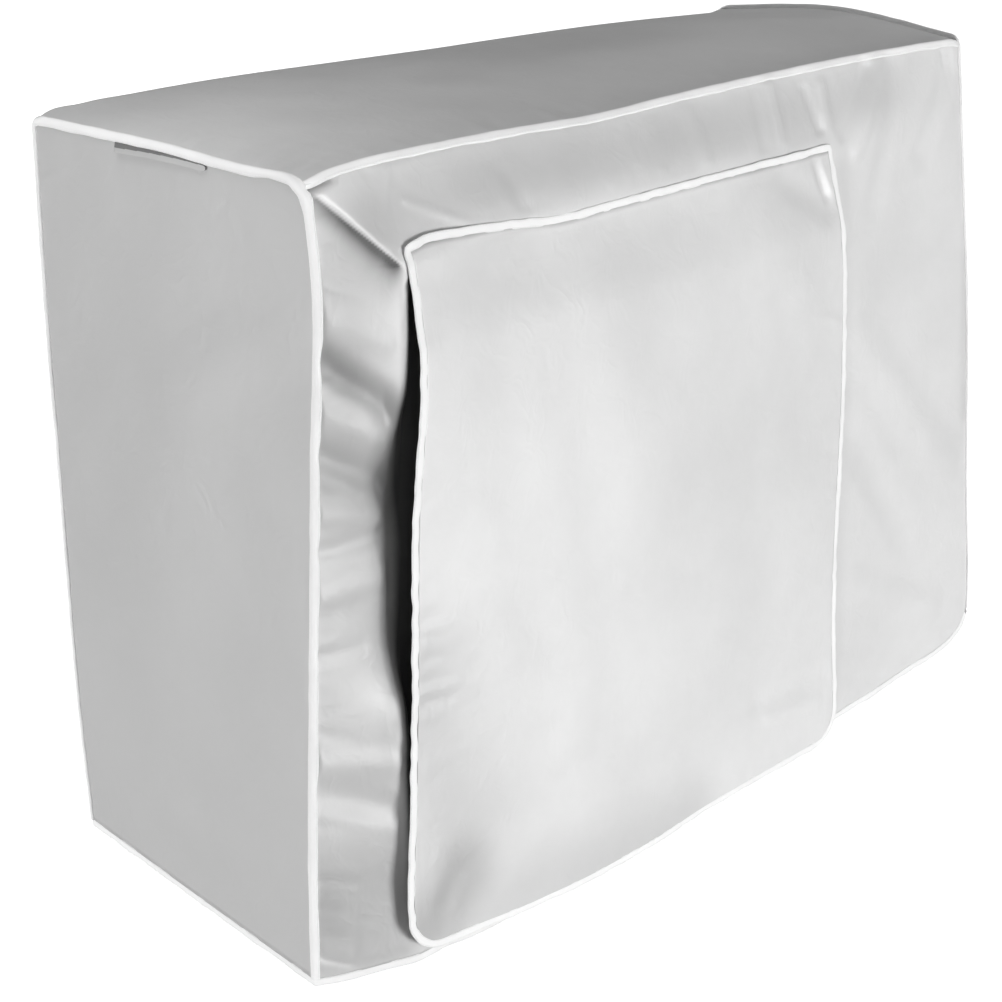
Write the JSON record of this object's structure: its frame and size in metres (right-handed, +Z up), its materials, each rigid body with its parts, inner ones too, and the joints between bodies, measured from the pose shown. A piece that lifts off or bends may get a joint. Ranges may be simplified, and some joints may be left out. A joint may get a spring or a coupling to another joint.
{
  "type": "fitted cover for an outdoor air conditioner unit",
  "caption": "Silver-grey coated cloth cover for an outdoor air conditioner unit, open below, with white bound seams and a loose front flap.",
  "frame": {"origin": "under the middle of the top, where the unit carries the cover", "axes": "+X to the right along the front, +Y to the back, +Z up; the front flap faces -Y"},
  "size_m": [0.9693, 0.4259, 0.7428],
  "materials": {
    "silver_cloth": "light woven cloth with a silver-grey coating, slight sheen",
    "white_binding": "matt woven tape, stitched"
  },
  "bodies": {
    "root": {"top_and_back": "silver_cloth", "front_panel": "silver_cloth", "left_panel": "silver_cloth", "right_panel": "silver_cloth", "front_flap": "silver_cloth", "side_tab": "silver_cloth", "binding_left": "white_binding", "binding_right": "white_binding", "binding_front_top": "white_binding", "binding_flap": "white_binding", "binding_hem": "white_binding"}
  },
  "joints": []
}
